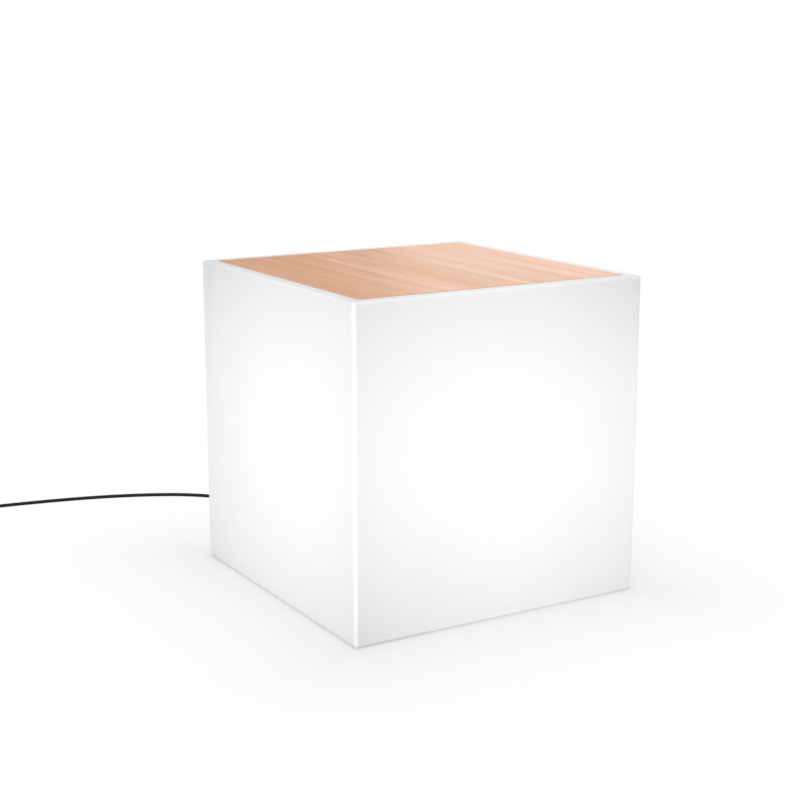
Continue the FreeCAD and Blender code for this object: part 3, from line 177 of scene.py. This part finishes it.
class Finish:
    """A Principled material. Its helpers add nodes that read the object's own coordinates."""

    def __init__(self, name, **sockets):
        self.material = bpy.data.materials.new(name)
        self.material.use_nodes = True
        self.tree = self.material.node_tree
        self.shader = self.tree.nodes["Principled BSDF"]
        for socket, value in sockets.items():
            self.shader.inputs[socket.replace("_", " ")].default_value = value
        self.place = self.tree.nodes.new("ShaderNodeTexCoord").outputs["Object"]

    def node(self, kind, **settings):
        made = self.tree.nodes.new(kind)
        for name, value in settings.items():
            setattr(made, name, value)
        return made

    def link(self, source, socket):
        self.tree.links.new(source, socket)

    def feed(self, source, name):
        self.link(source, self.shader.inputs[name])

    def math(self, operation, *values):
        made = self.node("ShaderNodeMath", operation=operation)
        for socket, value in zip(made.inputs, values):
            if isinstance(value, (int, float)):
                socket.default_value = value
            else:
                self.link(value, socket)
        return made.outputs[0]

    def product(self, first, *others):
        for other in others:
            first = self.math("MULTIPLY", first, other)
        return first

    def sum(self, first, *others):
        for other in others:
            first = self.math("ADD", first, other)
        return first

    def separated(self):
        """The X, Y and Z of the object's own coordinates."""
        made = self.node("ShaderNodeSeparateXYZ")
        self.link(self.place, made.inputs[0])
        return made.outputs

    def stretched(self, scale):
        made = self.node("ShaderNodeMapping")
        made.inputs["Scale"].default_value = scale
        self.link(self.place, made.inputs["Vector"])
        return made.outputs["Vector"]

    def noise(self, scale, detail=3.0, roughness=0.5, vector=None, distortion=0.0):
        made = self.node("ShaderNodeTexNoise")
        made.inputs["Scale"].default_value = scale
        made.inputs["Detail"].default_value = detail
        made.inputs["Roughness"].default_value = roughness
        made.inputs["Distortion"].default_value = distortion
        self.link(vector or self.place, made.inputs["Vector"])
        return made.outputs["Fac"]

    def remap(self, value, low, high, to_low, to_high):
        made = self.node("ShaderNodeMapRange")
        for socket, setting in zip(list(made.inputs)[1:5], (low, high, to_low, to_high)):
            socket.default_value = setting
        self.link(value, made.inputs["Value"])
        return made.outputs["Result"]

    def ramp(self, value, stops):
        made = self.node("ShaderNodeValToRGB")
        elements = made.color_ramp.elements
        while len(elements) < len(stops):
            elements.new(0.5)
        for element, (position, colour) in zip(elements, stops):
            element.position = position
            element.color = (*colour, 1.0)
        self.link(value, made.inputs["Fac"])
        return made.outputs["Color"]

    def mix(self, factor, colour, other):
        """Blends a linked colour with a plain one.

        Its colour sockets share their names with others, so they are taken by number.
        """
        made = self.node("ShaderNodeMix", data_type="RGBA")
        self.link(factor, made.inputs[0])
        self.link(colour, made.inputs[6])
        made.inputs[7].default_value = (*other, 1.0)
        return made.outputs[2]

    def bump(self, height, distance, strength=1.0, below=None):
        made = self.node("ShaderNodeBump")
        made.inputs["Strength"].default_value = strength
        made.inputs["Distance"].default_value = distance
        self.link(height, made.inputs["Height"])
        if below:
            self.link(below, made.inputs["Normal"])
        return made.outputs["Normal"]


def shade(colour, share):
    """A colour made lighter or darker."""
    return tuple(min(1.0, channel * share) for channel in colour)


# ---------------------------------------------------------------- the moulded cube's material

LIGHT_HEIGHT = 0.225  # the lamp's middle above the floor
HALF_WIDTH = 0.225
GLOW_CENTRE = 0.360  # where a wall is nearest to the lamp
GLOW_FALL = 0.092  # less towards each edge
GLOW_DROP = 0.060  # and further less above and below the lamp
GLOW_POWER = 2.0
PAINTED_LIGHT_LEAN = 0.032  # painted light and shade of the studio lamps: lighter towards two opposite corners of each wall
PAINTED_LIGHT_SHIFT = (0.022, -0.023, 0.005)  # painted light of the studio lamps: more towards +X, -Y and +Z
PAINTED_SIDE_LIGHT = 0.017  # painted light of the studio lamps: more on the left and right walls, less on the front and back walls
PAINTED_CORNER_SHARE = 1.5  # further share of that painted light at a wall's corners
PAINTED_EDGE_HIGHLIGHT = 0.11  # painted highlight along the rounded upright edge between the front and left walls
ROUNDED_FROM, ROUNDED_TO = -0.977, -0.987  # where that painted highlight starts on both walls, in half widths
SIDE_BLEND = 0.04  # how gradually the sides' painted light and the rim's share set in, in squared half widths
TOP_BLEND = 0.1  # how gradually the sides' painted light fades at a wall's top and bottom
RIM_SHARE = 0.35  # of the glow that reaches the rim's upper face
SHELL_WHITE = (0.76, 0.76, 0.76)
SHELL_WARMTH = (1.0, 1.0, 0.995)  # tint of the glow


def glow_and_painted_light(finish):
    """How brightly the lamp shows through the wall, plus painted studio light and a painted edge
    highlight.

    Of the three distances from the lamp, as shares of the half width, the largest is the wall's
    own, and the other two say how far along the wall the point lies.
    """
    across, back, up = finish.separated()
    height = finish.math("SUBTRACT", up, LIGHT_HEIGHT)
    signed = [finish.math("DIVIDE", way, HALF_WIDTH) for way in (across, back, height)]
    powers = [finish.math("POWER", finish.math("ABSOLUTE", way), GLOW_POWER) for way in signed]
    level_with = finish.math("MAXIMUM", powers[0], powers[1])
    largest = finish.math("MAXIMUM", level_with, powers[2])
    along = finish.math("SUBTRACT", finish.sum(*powers), largest)
    level = finish.math("SUBTRACT", GLOW_CENTRE, finish.product(along, GLOW_FALL))
    level = finish.math("SUBTRACT", level, finish.product(powers[2], GLOW_DROP))
    # painted light and shade of the studio lamps: a lean between opposite corners and a shift along
    # each axis
    painted_shifts = [finish.product(way, share) for way, share in zip(signed, PAINTED_LIGHT_SHIFT)]
    level = finish.sum(level, finish.product(*signed, PAINTED_LIGHT_LEAN), *painted_shifts)

    # painted light of the studio lamps: the left and right walls lighter, more so at their corners
    sideways = finish.math("SUBTRACT", powers[0], powers[1])
    painted_sides = finish.remap(sideways, -SIDE_BLEND, SIDE_BLEND, -PAINTED_SIDE_LIGHT, PAINTED_SIDE_LIGHT)
    beside = finish.remap(finish.math("SUBTRACT", level_with, powers[2]), 0.0, TOP_BLEND, 0.0, 1.0)
    painted_corner_growth = finish.sum(finish.product(*powers, PAINTED_CORNER_SHARE), 1.0)
    level = finish.sum(level, finish.product(painted_sides, beside, painted_corner_growth))

    # painted highlight along the rounded upright edge between the front and left walls
    nearest = finish.math("MAXIMUM", signed[0], signed[1])
    level = finish.sum(level, finish.remap(nearest, ROUNDED_TO, ROUNDED_FROM, PAINTED_EDGE_HIGHLIGHT, 0.0))
    upward = finish.product(signed[2], finish.math("ABSOLUTE", signed[2]))
    above = finish.math("SUBTRACT", upward, level_with)
    on_rim = finish.remap(above, 0.0, SIDE_BLEND, 1.0, RIM_SHARE)
    return finish.math("MAXIMUM", finish.product(level, on_rim), 0.0)


def moulded_shell():
    """Satin white plastic, a little cloudy and uneven, that the lamp shines through, with painted
    studio light and a painted edge highlight in its glow.
    """
    finish = Finish("moulded_shell", Specular_IOR_Level=0.05, Emission_Strength=1.0)
    cloud = finish.noise(14.0, 2.0)
    tint = finish.ramp(cloud, [(0.3, shade(SHELL_WHITE, 0.985)), (0.7, SHELL_WHITE)])
    finish.feed(tint, "Base Color")
    level = glow_and_painted_light(finish)
    warm = finish.node("ShaderNodeCombineColor")
    for socket, share in zip(warm.inputs, SHELL_WARMTH):
        finish.link(finish.product(level, share), socket)
    finish.feed(warm.outputs[0], "Emission Color")
    grain = finish.noise(1100.0, 2.0)
    sag = finish.noise(9.0, 1.0)
    finish.feed(finish.remap(grain, 0.3, 0.7, 0.46, 0.56), "Roughness")
    fine = finish.bump(grain, 0.04 * MM, 0.5)
    finish.feed(finish.bump(sag, 1.0 * MM, 0.25, below=fine), "Normal")
    return finish.material


# ---------------------------------------------------------------- the wooden top's material

WOOD_DARK = (0.60, 0.28, 0.14)
WOOD_MIDDLE = (0.72, 0.38, 0.215)
WOOD_PALE = (0.81, 0.47, 0.30)
WOOD_PINK = (0.91, 0.605, 0.455)
WOOD_TONES = [(0.27, WOOD_DARK), (0.45, WOOD_MIDDLE), (0.6, WOOD_PALE), (0.75, WOOD_PINK)]
WOOD_PAINTED_REFLECTION = (0.45, -0.08, 0.0)  # painted reflection of the studio light: paler towards its right and its front
PANEL_HALF = 207.5 * MM
PAINTED_SHADE_FROM, PAINTED_SHADE_TO = 4.5 * MM, 2.5 * MM  # in from the panel's edges: painted shade where the panel meets the rim
EDGE_SHADE_SHARE = 0.4

# Repeats of the grain's patterns in a metre, along X, Y and Z.
BANDS = (26.0, 1.6, 26.0)
FIBRES = (520.0, 9.0, 520.0)
FLECKS = (1500.0, 110.0, 1500.0)
STREAKS = (32.0, 1.3, 32.0)


def wooden_top():
    """Pale steamed beech with its grain along Y.

    It has broad bands, fine fibres, short dark flecks and long pale streaks, with a painted
    reflection paler to its right and front and painted shade along its edges.
    """
    finish = Finish("wooden_top", Specular_IOR_Level=0.04)
    warp = finish.noise(3.0, 2.0)
    bands = finish.noise(1.0, 4.0, 0.55, finish.stretched(BANDS), 0.6)
    fibres = finish.noise(1.0, 5.0, 0.6, finish.stretched(FIBRES), 0.2)
    flecks = finish.noise(1.0, 2.0, 0.5, finish.stretched(FLECKS))
    streaks = finish.noise(1.0, 2.0, 0.5, finish.stretched(STREAKS), 0.3)
    # painted reflection: the colour grows paler towards the right and the front
    painted_reflection = finish.node("ShaderNodeVectorMath", operation="DOT_PRODUCT")
    finish.link(finish.place, painted_reflection.inputs[0])
    painted_reflection.inputs[1].default_value = WOOD_PAINTED_REFLECTION
    warped = finish.product(finish.math("SUBTRACT", warp, 0.5), 0.1)
    grain = finish.sum(finish.product(bands, 0.5), finish.product(fibres, 0.5))
    colour = finish.ramp(finish.sum(grain, warped, painted_reflection.outputs["Value"]), WOOD_TONES)
    colour = finish.mix(finish.remap(streaks, 0.6, 0.72, 0.0, 0.6), colour, WOOD_PINK)
    colour = finish.mix(finish.remap(flecks, 0.62, 0.75, 0.0, 0.35), colour, shade(WOOD_DARK, 0.72))
    # painted shade along the panel's edges, darker towards the rim
    ways = [finish.math("ABSOLUTE", way) for way in finish.separated()[:2]]
    reach = (PANEL_HALF - PAINTED_SHADE_FROM, PANEL_HALF - PAINTED_SHADE_TO)
    edge_shade = finish.remap(finish.math("MAXIMUM", *ways), *reach, 0.0, EDGE_SHADE_SHARE)
    colour = finish.mix(edge_shade, colour, WOOD_DARK)
    finish.feed(colour, "Base Color")
    finish.feed(finish.remap(fibres, 0.3, 0.7, 0.34, 0.5), "Roughness")
    finish.feed(finish.bump(fibres, 0.05 * MM, 0.35), "Normal")
    return finish.material


# ---------------------------------------------------------------- the other materials

BLACK = (0.006, 0.006, 0.0065)
CERAMIC = (0.80, 0.78, 0.73)


def plastic(name, colour, roughness, texture=900.0, depth=0.02, **more):
    """Moulded plastic or rubber: a slight cloudiness, and a fine texture from its mould."""
    finish = Finish(name, IOR=1.49, **more)
    cloud = finish.noise(60.0, 3.0)
    tint = finish.ramp(cloud, [(0.3, shade(colour, 0.9)), (0.7, shade(colour, 1.06))])
    finish.feed(tint, "Base Color")
    grain = finish.noise(texture, 3.0)
    finish.feed(finish.remap(grain, 0.3, 0.7, roughness - 0.05, roughness + 0.07), "Roughness")
    finish.feed(finish.bump(grain, depth * MM, 0.6), "Normal")
    return finish.material


def metal(name, colour, roughness, scale=(900.0, 900.0, 60.0)):
    """Turned or drawn metal with fine marks along Z and small stains."""
    finish = Finish(name, Metallic=1.0)
    marks = finish.noise(1.0, 3.0, 0.6, finish.stretched(scale))
    stains = finish.noise(120.0, 3.0)
    finish.feed(finish.ramp(stains, [(0.35, shade(colour, 0.82)), (0.65, colour)]), "Base Color")
    finish.feed(finish.remap(marks, 0.3, 0.7, roughness - 0.08, roughness + 0.1), "Roughness")
    finish.feed(finish.bump(marks, 0.01 * MM, 0.5), "Normal")
    return finish.material


def luminous(name, colour, light, strength):
    """Opal or phosphor that shines, with a faint unevenness."""
    finish = Finish(name, Emission_Strength=strength)
    cloud = finish.noise(45.0, 2.0)
    finish.feed(finish.ramp(cloud, [(0.3, shade(colour, 0.94)), (0.7, colour)]), "Base Color")
    finish.feed(finish.ramp(cloud, [(0.3, shade(light, 0.92)), (0.7, light)]), "Emission Color")
    grain = finish.noise(700.0, 2.0)
    finish.feed(finish.remap(grain, 0.3, 0.7, 0.25, 0.35), "Roughness")
    return finish.material


def make_materials():
    """Every material, by the name of its slot in the record."""
    return {
        "moulded_shell": moulded_shell(),
        "wooden_top": wooden_top(),
        "black_rubber": plastic("black_rubber", BLACK, 0.5, Specular_IOR_Level=0.2),
        "grey_rubber": plastic("grey_rubber", (0.11, 0.11, 0.115), 0.7, depth=0.05),
        "hatch_plastic": plastic("hatch_plastic", (0.72, 0.72, 0.71), 0.42),
        "gland_nylon": plastic("gland_nylon", (0.03, 0.03, 0.033), 0.4),
        "stainless_steel": metal("stainless_steel", (0.62, 0.61, 0.59), 0.28),
        "zinc_steel": metal("zinc_steel", (0.55, 0.57, 0.60), 0.34),
        "brass": metal("brass", (0.78, 0.58, 0.25), 0.3),
        "pedestal_plastic": plastic("pedestal_plastic", (0.76, 0.76, 0.74), 0.45),
        "holder_plastic": plastic("holder_plastic", (0.70, 0.68, 0.63), 0.25, texture=300.0),
        "white_ceramic": plastic("white_ceramic", CERAMIC, 0.6, texture=500.0, depth=0.04),
        "contact_copper": metal("contact_copper", (0.80, 0.45, 0.26), 0.3),
        "cap_aluminium": metal("cap_aluminium", (0.80, 0.80, 0.80), 0.35),
        "black_cap_glass": plastic("black_cap_glass", (0.01, 0.01, 0.012), 0.12, texture=150.0),
        "solder": metal("solder", (0.58, 0.58, 0.60), 0.45, (200.0, 200.0, 200.0)),
        "lamp_plastic": plastic("lamp_plastic", (0.82, 0.82, 0.81), 0.22, texture=300.0),
        "circuit_board": plastic("circuit_board", (0.74, 0.75, 0.73), 0.35),
        "driver_board": plastic("driver_board", (0.03, 0.20, 0.06), 0.35),
        "led_phosphor": luminous("led_phosphor", (0.90, 0.66, 0.12), (1.0, 0.85, 0.6), 4.0),
        "driver_parts": plastic("driver_parts", (0.03, 0.03, 0.035), 0.3),
        "opal_globe": luminous("opal_globe", (0.90, 0.90, 0.89), (1.0, 0.96, 0.9), 2.5),
        "terminal_plastic": plastic("terminal_plastic", (0.78, 0.78, 0.73), 0.4),
        "brown_insulation": plastic("brown_insulation", (0.10, 0.035, 0.012), 0.3, texture=300.0),
        "blue_insulation": plastic("blue_insulation", (0.02, 0.09, 0.45), 0.3, texture=300.0),
        "nickel": metal("nickel", (0.70, 0.68, 0.64), 0.2),
    }


def dress_nodes():
    """Gives each CAD node the material of its slot in the record."""
    slots = {part["node"]: part["material_slot"] for part in frame["record"]["subparts"]}
    for name, thing in frame["nodes"].items():
        thing.data.materials.clear()
        thing.data.materials.append(MATERIALS[slots[name]])


# ---------------------------------------------------------------- studio

FLOOR_SIZE = 30.0
FLOOR_WHITE = 0.88
FLOOR_SHOWN = 0.60  # share of the floor's own shade that shows beside the cube
FLOOR_REACH = 0.12  # where that share has fallen to a third, from the cube's sides
FLOOR_CLOSE = 0.12  # the further share that shows below the cube
FLOOR_CONTACT = 0.003  # and where that has fallen to a third
WORLD_LIGHT = 0.5
LIGHTS_AIM = (0.0, 0.0, 0.2)
LIGHTS = [  # name, place, width, height, and power in watts
    ("top_light", (0.0, 0.0, 2.8), 2.4, 2.4, 20.0),
    ("key_light", (-2.2, -2.2, 1.4), 2.4, 2.4, 40.0),
    ("back_light", (2.1, 1.94, 0.9), 1.8, 0.7, 11.0),
]


def background_rays(tree):
    """1 for rays that show the background: from the camera, shiny pieces and glass. Else 0."""
    path = tree.nodes.new("ShaderNodeLightPath")
    seen = path.outputs["Is Camera Ray"]
    for name in ("Is Glossy Ray", "Is Transmission Ray"):
        either = tree.nodes.new("ShaderNodeMath")
        either.operation = "MAXIMUM"
        tree.links.new(seen, either.inputs[0])
        tree.links.new(path.outputs[name], either.inputs[1])
        seen = either.outputs[0]
    return seen


def make_floor():
    """A pale floor with the cube's shadow, which fades to white away from the cube."""
    half = FLOOR_SIZE / 2
    corners = [(-half, -half, 0.0), (half, -half, 0.0), (half, half, 0.0), (-half, half, 0.0)]
    mesh = bpy.data.meshes.new("floor")
    mesh.from_pydata(corners, [], [(0, 1, 2, 3)])
    floor = bpy.data.objects.new("floor", mesh)
    bpy.context.scene.collection.objects.link(floor)

    white = (FLOOR_WHITE, FLOOR_WHITE, FLOOR_WHITE, 1.0)
    finish = Finish("floor", Base_Color=white, Roughness=0.9, Specular_IOR_Level=0.0)
    squares = []
    for way in finish.separated()[:2]:
        past = finish.math("SUBTRACT", finish.math("ABSOLUTE", way), HALF_WIDTH)
        past = finish.math("MAXIMUM", past, 0.0)
        squares.append(finish.product(past, past))
    distance = finish.math("SQRT", finish.sum(*squares))
    shades = []
    for share, reach in ((FLOOR_SHOWN, FLOOR_REACH), (FLOOR_CLOSE, FLOOR_CONTACT)):
        fall = finish.math("EXPONENT", finish.math("DIVIDE", distance, -reach))
        shades.append(finish.product(fall, share))
    white_share = finish.math("SUBTRACT", 1.0, finish.sum(*shades))
    seen = finish.product(white_share, background_rays(finish.tree))
    shown = finish.node("ShaderNodeMixShader")
    finish.link(seen, shown.inputs[0])
    finish.link(finish.shader.outputs[0], shown.inputs[1])
    finish.link(finish.node("ShaderNodeEmission").outputs[0], shown.inputs[2])
    below = finish.node("ShaderNodeMixShader")
    finish.link(finish.node("ShaderNodeNewGeometry").outputs["Backfacing"], below.inputs[0])
    finish.link(shown.outputs[0], below.inputs[1])
    finish.link(finish.node("ShaderNodeBsdfTransparent").outputs[0], below.inputs[2])
    finish.link(below.outputs[0], finish.tree.nodes["Material Output"].inputs["Surface"])
    mesh.materials.append(finish.material)


def make_world():
    """Even studio light, which shows as white to the camera, in shiny pieces and through glass."""
    world = bpy.data.worlds.new("studio")
    world.use_nodes = True
    bpy.context.scene.world = world
    tree = world.node_tree
    strength = tree.nodes.new("ShaderNodeMath")
    strength.operation = "MULTIPLY_ADD"
    tree.links.new(background_rays(tree), strength.inputs[0])
    strength.inputs[1].default_value = 1.0 - WORLD_LIGHT
    strength.inputs[2].default_value = WORLD_LIGHT
    tree.links.new(strength.outputs[0], tree.nodes["Background"].inputs["Strength"])
    tree.nodes["Background"].inputs["Color"].default_value = (1.0, 1.0, 1.0, 1.0)


def make_light(name, place, width, height, power):
    """A soft box that faces the cube."""
    data = bpy.data.lights.new(name, "AREA")
    data.shape = "RECTANGLE"
    data.size = width
    data.size_y = height
    data.energy = power
    light = bpy.data.objects.new(name, data)
    light.location = place
    light.rotation_mode = "QUATERNION"
    light.rotation_quaternion = (Vector(LIGHTS_AIM) - Vector(place)).to_track_quat("-Z", "Y")
    bpy.context.scene.collection.objects.link(light)


def make_studio():
    make_floor()
    make_world()
    for light in LIGHTS:
        make_light(*light)
    bpy.context.scene.view_settings.view_transform = "Standard"


# ---------------------------------------------------------------- everything together

make_camera()
MATERIALS = make_materials()
make_lead()
dress_nodes()
make_studio()
